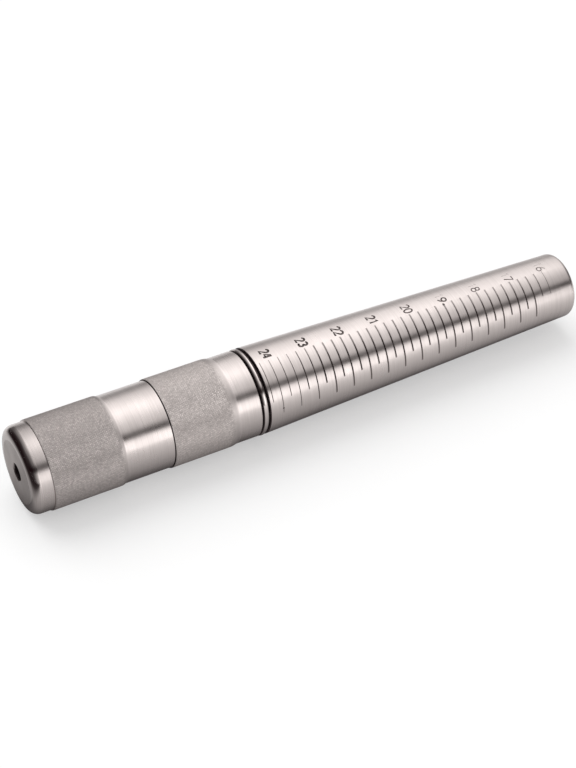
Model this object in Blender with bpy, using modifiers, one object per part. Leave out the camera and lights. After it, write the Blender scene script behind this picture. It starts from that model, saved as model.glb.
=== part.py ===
"""Ring mandrel with a turning handle, graduated for ring sizes 16 to 24.

The mandrel lies on its side with its axis along X and its tip towards +X. Every turned piece is
drawn on its own local Z axis and carried by an empty that lays that axis along X. Stations are
distances along the axis from the rear face of the handle. Units are metres.
"""

from math import atan, ceil, cos, degrees, pi, radians, sin, tan

import bmesh
import bpy

MM = 0.001

# Ring scale on the taper
SIZE_ZERO_DIAMETER = 11.63 * MM
DIAMETER_PER_SIZE = 0.8128 * MM
LARGEST_SIZE = 24
SMALLEST_SIZE = 16
MARKS_PER_SIZE = 4
EXTRA_MARK_COUNT = 1
SIZE_PITCH = 14.19 * MM
SHOULDER_TO_LARGEST_MARK = 5.05 * MM
SMALLEST_MARK_TO_TIP = 10.9 * MM
MARK_WIDTH = 0.5 * MM
MARK_DEPTH = 0.25 * MM
MARK_START_ANGLE = radians(15.0)
LONG_MARK_ANGLE = radians(75.0)
SHORT_MARK_ANGLE = radians(55.0)

# Taper ends and shank
TIP_EDGE_RADIUS = 2.0 * MM
TIP_CENTRE_MOUTH_DIAMETER = 4.2 * MM
TIP_CENTRE_PILOT_DIAMETER = 2.0 * MM
TIP_CENTRE_PILOT_DEPTH = 2.4 * MM
CENTRE_DRILL_ANGLE = radians(60.0)
SHOULDER_CHAMFER = 0.3 * MM
SHANK_END_CHAMFER = 0.6 * MM

# Handle outside
HANDLE_STEP = 0.11 * MM
KNURL_RISE = 0.47 * MM
CAP_FLANGE_LENGTH = 6.8 * MM
CAP_EDGE_RADIUS = 3.0 * MM
SLEEVE_LENGTH = 43.65 * MM
SLEEVE_KNURL_LENGTH = 26.65 * MM
SEAM_WIDTH = 0.3 * MM
COLLAR_LENGTH = 33.2 * MM
COLLAR_KNURL_LENGTH = 24.9 * MM
HANDLE_EDGE_CHAMFER = 0.35 * MM

# Walls and steps inside the handle, from its outside inwards
SEAM_DEPTH = 2.1 * MM
CHAMBER_WALL = 2.8 * MM
STACK_SIDE_CLEARANCE = 1.3 * MM
CAP_SPIGOT_STEP = 1.5 * MM
SLEEVE_RELIEF_STEP = 1.0 * MM
BUSH_WALL = 2.4 * MM

# Steel bead ring between the collar and the taper
BEAD_DIAMETER = 2.4 * MM
BEAD_PROUD = 0.1 * MM
BEAD_CLEARANCE = 0.3 * MM

# Drive pins that make the collar turn with the taper
DRIVE_PIN_DIAMETER = 2.0 * MM
DRIVE_PIN_LENGTH = 8.0 * MM
DRIVE_PIN_COUNT = 2

# Bearings and the stack that holds the sleeve on the shank
FRONT_BUSH_LENGTH = 10.0 * MM
REAR_BUSH_LENGTH = 8.0 * MM
THRUST_WASHER_THICKNESS = 1.5 * MM
STACK_CHAMBER_DEPTH = 15.6 * MM
SPRING_THICKNESS = 0.8 * MM
SPRING_RISE = 0.6 * MM
CLAMP_WASHER_THICKNESS = 2.5 * MM
WASHER_PIN_DIAMETER = 2.0 * MM
WASHER_PIN_DEPTH = 2.2 * MM

# Retaining screw and the cap that covers it
SCREW_DIAMETER = 6.0 * MM
SCREW_LENGTH = 16.0 * MM
SCREW_HEAD_DIAMETER = 10.0 * MM
SCREW_HEAD_HEIGHT = 6.0 * MM
SCREW_CHAMFER = 0.5 * MM
SOCKET_SIDES = 6
SOCKET_ACROSS_FLATS = 5.0 * MM
SOCKET_DEPTH = 3.0 * MM
THREAD_RUN_OUT = 2.1 * MM
CAP_WALL = 5.0 * MM
CAP_SPIGOT_LENGTH = 6.0 * MM
CAP_HEAD_CLEARANCE = 1.0 * MM
KEY_HOLE_DIAMETER = 6.2 * MM
KEY_HOLE_CHAMFER = 0.35 * MM

# Shared fits and mesh fineness
GAP = 0.3 * MM
CUT_OVERRUN = 0.5 * MM
MERGE_DISTANCE = 0.01 * MM
BODY_FACETS = 48
INNER_FACETS = 32
PIN_FACETS = 12
BEAD_FACETS = 12
ARC_FACETS = 5
SHARP_ANGLE = radians(30.0)

# Finishes as colour, roughness and metallic value
GROUND_STEEL = ((0.60, 0.575, 0.555), 0.30, 1.0)
KNURLED_STEEL = ((0.52, 0.495, 0.475), 0.42, 1.0)
CAP_STEEL = ((0.56, 0.535, 0.515), 0.36, 1.0)
BEAD_STEEL = ((0.62, 0.59, 0.57), 0.18, 1.0)
BEARING_BRONZE = ((0.60, 0.38, 0.17), 0.35, 1.0)
SPRING_STEEL = ((0.24, 0.23, 0.22), 0.40, 1.0)
BLACKED_STEEL = ((0.05, 0.05, 0.052), 0.45, 1.0)
PIN_STEEL = ((0.45, 0.45, 0.46), 0.25, 1.0)

# Taper: the diameter grows by one ring size in one size pitch
taper_slope = DIAMETER_PER_SIZE / SIZE_PITCH / 2
taper_angle = atan(taper_slope)
largest_mark_radius = (SIZE_ZERO_DIAMETER + LARGEST_SIZE * DIAMETER_PER_SIZE) / 2
shoulder_radius = largest_mark_radius + taper_slope * SHOULDER_TO_LARGEST_MARK

# Handle: its outside lies one step below the taper's shoulder
handle_radius = shoulder_radius - HANDLE_STEP
knurl_radius = handle_radius + KNURL_RISE
seam_washer_radius = handle_radius - SEAM_DEPTH
chamber_radius = handle_radius - CHAMBER_WALL
rear_washer_radius = chamber_radius - GAP
stack_radius = chamber_radius - STACK_SIDE_CLEARANCE
cap_spigot_radius = chamber_radius - GAP
bush_seat_radius = cap_spigot_radius - CAP_SPIGOT_STEP
sleeve_relief_radius = bush_seat_radius - SLEEVE_RELIEF_STEP
bush_radius = bush_seat_radius - GAP
shank_bore_radius = bush_radius - BUSH_WALL
shank_radius = shank_bore_radius - GAP
screw_radius = SCREW_DIAMETER / 2
screw_bore_radius = screw_radius + GAP
cap_bore_radius = SCREW_HEAD_DIAMETER / 2 + CAP_HEAD_CLEARANCE
key_hole_radius = KEY_HOLE_DIAMETER / 2
pin_pitch_radius = (screw_bore_radius + shank_radius) / 2

# Bead ring
bead_radius = BEAD_DIAMETER / 2
bead_centre_radius = shoulder_radius + BEAD_PROUD - bead_radius
bead_spigot_radius = bead_centre_radius - bead_radius - BEAD_CLEARANCE
bead_space = BEAD_DIAMETER + BEAD_CLEARANCE * 2
drive_pin_pitch_radius = (shank_bore_radius + bead_spigot_radius) / 2

# Stations of the handle, from its rear face forwards
sleeve_station = CAP_FLANGE_LENGTH + GAP
chamber_floor_station = sleeve_station + STACK_CHAMBER_DEPTH
seam_station = sleeve_station + SLEEVE_LENGTH
collar_station = seam_station + SEAM_WIDTH
collar_end_station = collar_station + COLLAR_LENGTH
shoulder_station = collar_end_station + bead_space
largest_mark_station = shoulder_station + SHOULDER_TO_LARGEST_MARK
scale_length = (LARGEST_SIZE - SMALLEST_SIZE) * SIZE_PITCH
tip_station = largest_mark_station + scale_length + SMALLEST_MARK_TO_TIP

# Stations of the stack behind the sleeve, from the chamber floor backwards
rear_bush_station = chamber_floor_station + GAP
front_bush_station = seam_station - GAP - FRONT_BUSH_LENGTH
spring_height = SPRING_RISE + SPRING_THICKNESS
seam_washer_station = seam_station + GAP
rear_washer_station = chamber_floor_station - GAP - THRUST_WASHER_THICKNESS
front_spring_station = rear_washer_station - GAP - spring_height
rear_spring_station = front_spring_station - GAP - spring_height
clamp_washer_station = rear_spring_station - GAP - CLAMP_WASHER_THICKNESS
shank_end_station = clamp_washer_station + CLAMP_WASHER_THICKNESS + GAP
screw_station = clamp_washer_station - GAP - SCREW_HEAD_HEIGHT
thread_depth = SCREW_LENGTH - CLAMP_WASHER_THICKNESS - GAP + THREAD_RUN_OUT

# The facets of the knurled bands lie flat on the ground
axis_height = knurl_radius * cos(pi / BODY_FACETS)


def clear_scene():
    """Remove every object, so that the model starts from an empty scene."""
    for item in list(bpy.data.objects):
        bpy.data.objects.remove(item, do_unlink=True)


def new_collection(name):
    """Make a collection under the scene's own."""
    collection = bpy.data.collections.new(name)
    bpy.context.scene.collection.children.link(collection)
    return collection


def new_material(name, finish):
    """Make a Principled material from a colour, a roughness and a metallic value."""
    colour, roughness, metallic = finish
    material = bpy.data.materials.new(name)
    material.use_nodes = True
    shader = material.node_tree.nodes["Principled BSDF"]
    shader.inputs["Base Color"].default_value = (*colour, 1.0)
    shader.inputs["Roughness"].default_value = roughness
    shader.inputs["Metallic"].default_value = metallic
    material.diffuse_color = (*colour, 1.0)
    return material


def new_axis(name, collection):
    """Make an empty on the mandrel's axis at the rear face, with its local Z along +X."""
    axis = bpy.data.objects.new(name, None)
    axis.location = (-tip_station / 2, 0, axis_height)
    axis.rotation_euler = (0, pi / 2, 0)
    collection.objects.link(axis)
    return axis


def corner_arc(centre, radius, start, end, count=ARC_FACETS):
    """Return (height, radius) points along an arc of an outline, both ends included."""
    height, distance = centre
    angles = [start + (end - start) * step / count for step in range(count + 1)]
    return [(height + radius * cos(turn), distance + radius * sin(turn)) for turn in angles]


def turn_outline(name, outline, facets, collection):
    """Turn an outline of (height, radius) points about local Z.

    The outline runs down its outer side. It starts and ends on the axis for a solid piece, and is
    closed for a piece with a bore.
    """
    count = len(outline)
    edges = [(index, index + 1) for index in range(count - 1)]
    if outline[0][1] > 0:
        edges.append((count - 1, 0))
    mesh = bpy.data.meshes.new(name)
    mesh.from_pydata([(radius, 0, height) for height, radius in outline], edges, [])
    piece = bpy.data.objects.new(name, mesh)
    collection.objects.link(piece)
    screw = piece.modifiers.new("turn", "SCREW")
    screw.axis = "Z"
    screw.angle = 2 * pi
    screw.steps = facets
    screw.render_steps = facets
    screw.use_merge_vertices = True
    screw.merge_threshold = MERGE_DISTANCE
    screw.use_normal_calculate = False
    return piece


def keep_evaluated_mesh(piece):
    """Replace a piece's mesh by its evaluated one and shade its round faces smooth."""
    graph = bpy.context.evaluated_depsgraph_get()
    mesh = bpy.data.meshes.new_from_object(piece.evaluated_get(graph))
    mesh.name = piece.name
    piece.modifiers.clear()
    piece.data = mesh
    mesh.shade_smooth()
    mesh.set_sharp_from_angle(angle=SHARP_ANGLE)


def cut(piece, cutter):
    """Cut a piece by another one with an exact Boolean."""
    boolean = piece.modifiers.new("cut", "BOOLEAN")
    boolean.operation = "DIFFERENCE"
    boolean.solver = "EXACT"
    boolean.object = cutter


def as_cutter(cutter, carrier):
    """Mark an object as a construction body of the axis that carries it."""
    cutter.parent = carrier
    cutter.hide_render = True
    cutter.display_type = "WIRE"


class Maker:
    """Builds the pieces of the mandrel into its two collections."""

    def __init__(self):
        self.parts = new_collection("ring_mandrel")
        self.cutters = new_collection("ring_mandrel_cutters")
        self.mandrel_axis = new_axis("mandrel_axis", self.parts)
        self.grip_axis = new_axis("grip_axis", self.parts)

    def turned(self, name, station, outline, finish, axis, facets=INNER_FACETS, cutters=()):
        """Turn a piece, cut it, and seat it on its axis at a station, one flat underneath."""
        piece = turn_outline(name, outline, facets, self.parts)
        piece.parent = axis
        piece.location = (0, 0, station)
        piece.rotation_euler = (0, 0, pi / facets)
        bpy.context.view_layer.update()
        for cutter in cutters:
            cut(piece, cutter)
        keep_evaluated_mesh(piece)
        piece.data.materials.append(new_material(name, finish))
        return piece

    def rod(self, name, collection, axis, place, radius, length, facets=PIN_FACETS):
        """Make a round or six-sided rod along the axis, its lower end at a place."""
        mesh = bpy.data.meshes.new(name)
        body = bmesh.new()
        bmesh.ops.create_cone(
            body, cap_ends=True, segments=facets, radius1=radius, radius2=radius, depth=length
        )
        bmesh.ops.translate(body, vec=(0, 0, length / 2), verts=body.verts)
        body.to_mesh(mesh)
        body.free()
        rod = bpy.data.objects.new(name, mesh)
        collection.objects.link(rod)
        rod.parent = axis
        rod.location = place
        return rod

    def pin(self, name, place, radius, length):
        """Make a dowel pin along the axis."""
        pin = self.rod(name, self.parts, self.mandrel_axis, place, radius, length)
        pin.data.shade_smooth()
        pin.data.set_sharp_from_angle(angle=SHARP_ANGLE)
        pin.data.materials.append(new_material(name, PIN_STEEL))
        return pin

    def hole(self, name, place, radius, length, facets=PIN_FACETS):
        """Make a cutter for a hole along the axis."""
        hole = self.rod(name, self.cutters, self.mandrel_axis, place, radius, length, facets)
        as_cutter(hole, self.mandrel_axis)
        return hole

    def marks(self):
        """Make the cutter of the engraved marks, one V-shaped arc for each quarter size."""
        body = bmesh.new()
        last = round((LARGEST_SIZE - SMALLEST_SIZE) * MARKS_PER_SIZE)
        for index in range(-EXTRA_MARK_COUNT, last + 1):
            whole_or_half = index % (MARKS_PER_SIZE // 2) == 0
            span = LONG_MARK_ANGLE if whole_or_half else SHORT_MARK_ANGLE
            self.mark(body, index * SIZE_PITCH / MARKS_PER_SIZE, span)
        bmesh.ops.recalc_face_normals(body, faces=body.faces)
        mesh = bpy.data.meshes.new("mark_cutters")
        body.to_mesh(mesh)
        body.free()
        cutter = bpy.data.objects.new("mark_cutters", mesh)
        self.cutters.objects.link(cutter)
        as_cutter(cutter, self.mandrel_axis)
        cutter.location = (0, 0, largest_mark_station)
        cutter.rotation_euler = (0, 0, pi)
        return cutter

    def mark(self, body, distance, span):
        """Add one mark's V-shaped arc, at a distance from the largest size's mark."""
        surface = largest_mark_radius - taper_slope * distance
        flank = MARK_WIDTH / MARK_DEPTH / 2
        outer_half_width = (MARK_DEPTH + CUT_OVERRUN) * flank
        corners = (
            (surface - MARK_DEPTH, distance),
            (surface + CUT_OVERRUN, distance - outer_half_width),
            (surface + CUT_OVERRUN, distance + outer_half_width),
        )
        start = (cos(MARK_START_ANGLE), sin(MARK_START_ANGLE))
        verts = [body.verts.new((radius * start[0], radius * start[1], z)) for radius, z in corners]
        face = body.faces.new(verts)
        bmesh.ops.spin(
            body,
            geom=[face, *face.edges, *verts],
            cent=(0, 0, 0),
            axis=(0, 0, 1),
            angle=span,
            steps=ceil(degrees(span) * BODY_FACETS / degrees(2 * pi)),
        )

    def drive_pins(self):
        """Make the drive pins under the bead ring, and the cutter of each one's hole."""
        holes = []
        middle = (collar_end_station + shoulder_station) / 2
        for index in range(DRIVE_PIN_COUNT):
            turn = 2 * pi * index / DRIVE_PIN_COUNT
            across = drive_pin_pitch_radius * cos(turn)
            along = drive_pin_pitch_radius * sin(turn)
            start = middle - DRIVE_PIN_LENGTH / 2
            label = f"drive_pin_{index + 1}"
            self.pin(label, (across, along, start), DRIVE_PIN_DIAMETER / 2, DRIVE_PIN_LENGTH)
            hole_place = (across, along, start - GAP)
            hole_radius = DRIVE_PIN_DIAMETER / 2 + GAP
            hole_length = DRIVE_PIN_LENGTH + GAP * 2
            holes.append(self.hole(f"{label}_hole", hole_place, hole_radius, hole_length))
        return holes

    def washer_pin(self):
        """Make the pin that keeps the clamp washer from turning, and the cutter of its hole."""
        start = clamp_washer_station + GAP
        length = CLAMP_WASHER_THICKNESS + WASHER_PIN_DEPTH
        place = (0, pin_pitch_radius, start)
        self.pin("washer_pin", place, WASHER_PIN_DIAMETER / 2, length)
        hole_place = (0, pin_pitch_radius, clamp_washer_station - CUT_OVERRUN)
        hole_length = length + CUT_OVERRUN + GAP * 2
        return self.hole("washer_pin_hole", hole_place, WASHER_PIN_DIAMETER / 2 + GAP, hole_length)

    def mandrel(self, cutters):
        """Turn the taper with its shank, centre hole and tapped end, and engrave its marks."""
        tip = tip_station - shank_end_station
        shoulder = shoulder_station - shank_end_station
        edge_height = tip - TIP_EDGE_RADIUS
        side_radius = shoulder_radius - taper_slope * (edge_height - shoulder)
        edge_centre = (edge_height, side_radius - TIP_EDGE_RADIUS / cos(taper_angle))
        mouth_radius = TIP_CENTRE_MOUTH_DIAMETER / 2
        pilot_radius = TIP_CENTRE_PILOT_DIAMETER / 2
        cone_depth = (mouth_radius - pilot_radius) / tan(CENTRE_DRILL_ANGLE / 2)
        pilot_end = tip - cone_depth - TIP_CENTRE_PILOT_DEPTH
        drill_point = screw_bore_radius / tan(CENTRE_DRILL_ANGLE)
        outline = [
            (pilot_end, 0),
            (pilot_end, pilot_radius),
            (tip - cone_depth, pilot_radius),
            (tip, mouth_radius),
            *corner_arc(edge_centre, TIP_EDGE_RADIUS, 0, pi / 2 - taper_angle),
            (shoulder + SHOULDER_CHAMFER, shoulder_radius - taper_slope * SHOULDER_CHAMFER),
            (shoulder, shoulder_radius - SHOULDER_CHAMFER),
            (shoulder, shank_radius),
            (SHANK_END_CHAMFER, shank_radius),
            (0, shank_radius - SHANK_END_CHAMFER),
            (0, screw_bore_radius),
            (thread_depth, screw_bore_radius),
            (thread_depth + drill_point, 0),
        ]
        self.turned(
            "mandrel", shank_end_station, outline, GROUND_STEEL, self.mandrel_axis, BODY_FACETS,
            cutters,
        )

    def front_collar(self, cutters):
        """Turn the knurled collar with its bead spigot and its washer recess."""
        front = COLLAR_LENGTH
        spigot_end = front + bead_space - GAP
        recess_radius = seam_washer_radius + GAP
        recess_depth = THRUST_WASHER_THICKNESS + GAP * 2 - SEAM_WIDTH
        outline = [
            (spigot_end, shank_bore_radius),
            (spigot_end, bead_spigot_radius),
            (front, bead_spigot_radius),
            (front, handle_radius - HANDLE_EDGE_CHAMFER),
            (front - HANDLE_EDGE_CHAMFER, handle_radius),
            (COLLAR_KNURL_LENGTH, handle_radius),
            (COLLAR_KNURL_LENGTH - KNURL_RISE, knurl_radius),
            (KNURL_RISE, knurl_radius),
            (0, handle_radius),
            (0, recess_radius),
            (recess_depth, recess_radius),
            (recess_depth, shank_bore_radius),
        ]
        self.turned(
            "front_collar", collar_station, outline, KNURLED_STEEL, self.mandrel_axis, BODY_FACETS,
            cutters,
        )

    def bead_ring(self):
        """Turn the round-section steel ring between the collar and the taper."""
        centre = (0, bead_centre_radius)
        outline = corner_arc(centre, bead_radius, 0, 2 * pi, BEAD_FACETS)[:-1]
        station = (collar_end_station + shoulder_station) / 2
        self.turned(
            "bead_ring", station, outline, BEAD_STEEL, self.mandrel_axis, BODY_FACETS
        )

    def grip_sleeve(self):
        """Turn the knurled sleeve with its two bush seats and its rear chamber."""
        rear_seat_end = STACK_CHAMBER_DEPTH + REAR_BUSH_LENGTH + GAP * 2
        front_seat_start = SLEEVE_LENGTH - FRONT_BUSH_LENGTH - GAP * 2
        outline = [
            (SLEEVE_LENGTH, bush_seat_radius),
            (SLEEVE_LENGTH, handle_radius - HANDLE_EDGE_CHAMFER),
            (SLEEVE_LENGTH - HANDLE_EDGE_CHAMFER, handle_radius),
            (SLEEVE_KNURL_LENGTH, handle_radius),
            (SLEEVE_KNURL_LENGTH - KNURL_RISE, knurl_radius),
            (KNURL_RISE, knurl_radius),
            (0, handle_radius),
            (0, chamber_radius),
            (STACK_CHAMBER_DEPTH, chamber_radius),
            (STACK_CHAMBER_DEPTH, bush_seat_radius),
            (rear_seat_end, bush_seat_radius),
            (rear_seat_end, sleeve_relief_radius),
            (front_seat_start, sleeve_relief_radius),
            (front_seat_start, bush_seat_radius),
        ]
        self.turned(
            "grip_sleeve", sleeve_station, outline, KNURLED_STEEL, self.grip_axis, BODY_FACETS
        )

    def end_cap(self):
        """Turn the cap with its rounded edge, its spigot and the hole for the hex key."""
        spigot_end = CAP_FLANGE_LENGTH + CAP_SPIGOT_LENGTH
        edge_centre = (CAP_EDGE_RADIUS, handle_radius - CAP_EDGE_RADIUS)
        outline = [
            (spigot_end, cap_bore_radius),
            (spigot_end, cap_spigot_radius),
            (CAP_FLANGE_LENGTH, cap_spigot_radius),
            (CAP_FLANGE_LENGTH, handle_radius),
            *corner_arc(edge_centre, CAP_EDGE_RADIUS, pi / 2, pi),
            (0, key_hole_radius + KEY_HOLE_CHAMFER),
            (KEY_HOLE_CHAMFER, key_hole_radius),
            (CAP_WALL, key_hole_radius),
            (CAP_WALL, cap_bore_radius),
        ]
        self.turned("end_cap", 0, outline, CAP_STEEL, self.grip_axis, BODY_FACETS)

    def ring(self, name, station, inner, outer, length, finish, axis, cutters=()):
        """Turn a plain ring, such as a bush or a washer."""
        outline = [(length, inner), (length, outer), (0, outer), (0, inner)]
        self.turned(name, station, outline, finish, axis, INNER_FACETS, cutters)

    def bearings(self):
        """Make the two bushes and the two thrust washers that the handle turns on."""
        self.ring(
            "front_bush", front_bush_station, shank_bore_radius, bush_radius, FRONT_BUSH_LENGTH,
            BEARING_BRONZE, self.grip_axis,
        )
        self.ring(
            "rear_bush", rear_bush_station, shank_bore_radius, bush_radius, REAR_BUSH_LENGTH,
            BEARING_BRONZE, self.grip_axis,
        )
        self.ring(
            "front_thrust_washer", seam_washer_station, shank_bore_radius, seam_washer_radius,
            THRUST_WASHER_THICKNESS, BLACKED_STEEL, self.mandrel_axis,
        )
        self.ring(
            "rear_thrust_washer", rear_washer_station, shank_bore_radius, rear_washer_radius,
            THRUST_WASHER_THICKNESS, BEARING_BRONZE, self.mandrel_axis,
        )

    def disc_spring(self, name, station, inner_height, outer_height):
        """Turn a dished spring washer whose inner and outer rims lie at two heights."""
        outline = [
            (inner_height + SPRING_THICKNESS, shank_bore_radius),
            (outer_height + SPRING_THICKNESS, stack_radius),
            (outer_height, stack_radius),
            (inner_height, shank_bore_radius),
        ]
        self.turned(name, station, outline, SPRING_STEEL, self.mandrel_axis)

    def retaining_screw(self):
        """Turn the socket-head screw and cut its hexagon socket."""
        end = SCREW_HEAD_HEIGHT + SCREW_LENGTH
        head_radius = SCREW_HEAD_DIAMETER / 2
        outline = [
            (end, 0),
            (end, screw_radius - SCREW_CHAMFER),
            (end - SCREW_CHAMFER, screw_radius),
            (SCREW_HEAD_HEIGHT, screw_radius),
            (SCREW_HEAD_HEIGHT, head_radius),
            (SCREW_CHAMFER, head_radius),
            (0, head_radius - SCREW_CHAMFER),
            (0, 0),
        ]
        corner_radius = SOCKET_ACROSS_FLATS / 2 / cos(pi / SOCKET_SIDES)
        socket = self.hole(
            "screw_socket", (0, 0, screw_station - CUT_OVERRUN), corner_radius,
            SOCKET_DEPTH + CUT_OVERRUN, SOCKET_SIDES,
        )
        self.turned(
            "retaining_screw", screw_station, outline, BLACKED_STEEL, self.mandrel_axis,
            INNER_FACETS, [socket],
        )


def build():
    """Build every piece of the ring mandrel."""
    clear_scene()
    maker = Maker()
    drive_pin_holes = maker.drive_pins()
    washer_pin_hole = maker.washer_pin()
    maker.mandrel([maker.marks(), *drive_pin_holes, washer_pin_hole])
    maker.front_collar(drive_pin_holes)
    maker.bead_ring()
    maker.grip_sleeve()
    maker.bearings()
    maker.disc_spring("disc_spring_front", front_spring_station, SPRING_RISE, 0)
    maker.disc_spring("disc_spring_rear", rear_spring_station, 0, SPRING_RISE)
    maker.ring(
        "clamp_washer", clamp_washer_station, screw_bore_radius, stack_radius,
        CLAMP_WASHER_THICKNESS, PIN_STEEL, maker.mandrel_axis, [washer_pin_hole],
    )
    maker.retaining_screw()
    maker.end_cap()


build()
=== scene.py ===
"""Looks of a ring mandrel with a turning handle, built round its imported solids.

A station is a distance along the mandrel's axis, from the rear face of the handle towards the tip.
A turn is an angle round that axis, from the top line towards the side that carries the marks.
Lengths are metres and angles are radians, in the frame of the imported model.
"""

import logging
from collections.abc import Callable, Sequence
from dataclasses import dataclass
from enum import Enum
from math import atan2, cos, hypot, pi, radians, sin

import bmesh
import bpy
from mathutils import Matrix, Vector

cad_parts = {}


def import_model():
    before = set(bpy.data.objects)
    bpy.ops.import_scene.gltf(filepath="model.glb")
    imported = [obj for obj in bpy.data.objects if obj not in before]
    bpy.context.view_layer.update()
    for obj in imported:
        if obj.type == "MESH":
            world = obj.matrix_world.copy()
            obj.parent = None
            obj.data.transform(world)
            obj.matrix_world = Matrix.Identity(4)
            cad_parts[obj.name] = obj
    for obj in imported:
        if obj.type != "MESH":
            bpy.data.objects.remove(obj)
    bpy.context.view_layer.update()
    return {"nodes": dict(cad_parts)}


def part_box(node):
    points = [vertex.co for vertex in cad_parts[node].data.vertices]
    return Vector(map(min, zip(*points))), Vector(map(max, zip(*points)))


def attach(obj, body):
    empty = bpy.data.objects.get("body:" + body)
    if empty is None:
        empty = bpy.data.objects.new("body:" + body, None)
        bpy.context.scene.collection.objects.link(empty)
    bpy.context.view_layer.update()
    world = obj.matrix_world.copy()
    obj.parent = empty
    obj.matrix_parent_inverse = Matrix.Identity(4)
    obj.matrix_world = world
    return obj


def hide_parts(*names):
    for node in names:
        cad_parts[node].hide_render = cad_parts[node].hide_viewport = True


LOG = logging.getLogger("ring_mandrel")
MM = 0.001
MERGE_DISTANCE = 0.002 * MM
SURFACE_DEPTH = 0.1 * MM
PIN_CLEARANCE = 0.3 * MM
PIN_FACETS = 24
SHARP_ANGLE = radians(28.0)
FULL_TURN = 2 * pi
WHITE = (1, 1, 1, 1)
NOISE_MIDDLE = (0.3, 0.7)

Triple = tuple[float, float, float]
Colour = Triple
Pair = tuple[float, float]
Outline = list[Pair]
Stops = tuple[Pair, ...]
Face = bmesh.types.BMFace
Vertex = bmesh.types.BMVert
Piece = bpy.types.Object
Socket = bpy.types.NodeSocket


class Pick(Enum):
    """The kinds of mesh element that can be picked in edit mode."""

    VERTEX = "VERT"
    EDGE = "EDGE"
    FACE = "FACE"


class Body(Enum):
    """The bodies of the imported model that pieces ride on."""

    MANDREL = "mandrel"
    GRIP = "grip"


class Slot(Enum):
    """The record's material slots that new pieces take their finish from."""

    GROUND_STEEL = "ground_steel"
    KNURLED_STEEL = "knurled_steel"
    TURNED_STEEL = "turned_steel"
    POLISHED_STEEL = "polished_steel"


class CapZone(Enum):
    """The parts of the cap's surface, by the number of their finish."""

    BAND = 0
    ROUNDED = 1
    FACED = 2
    # Painted shade inside the hole and the bore.
    INSIDE = 3


# Finishes


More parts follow.
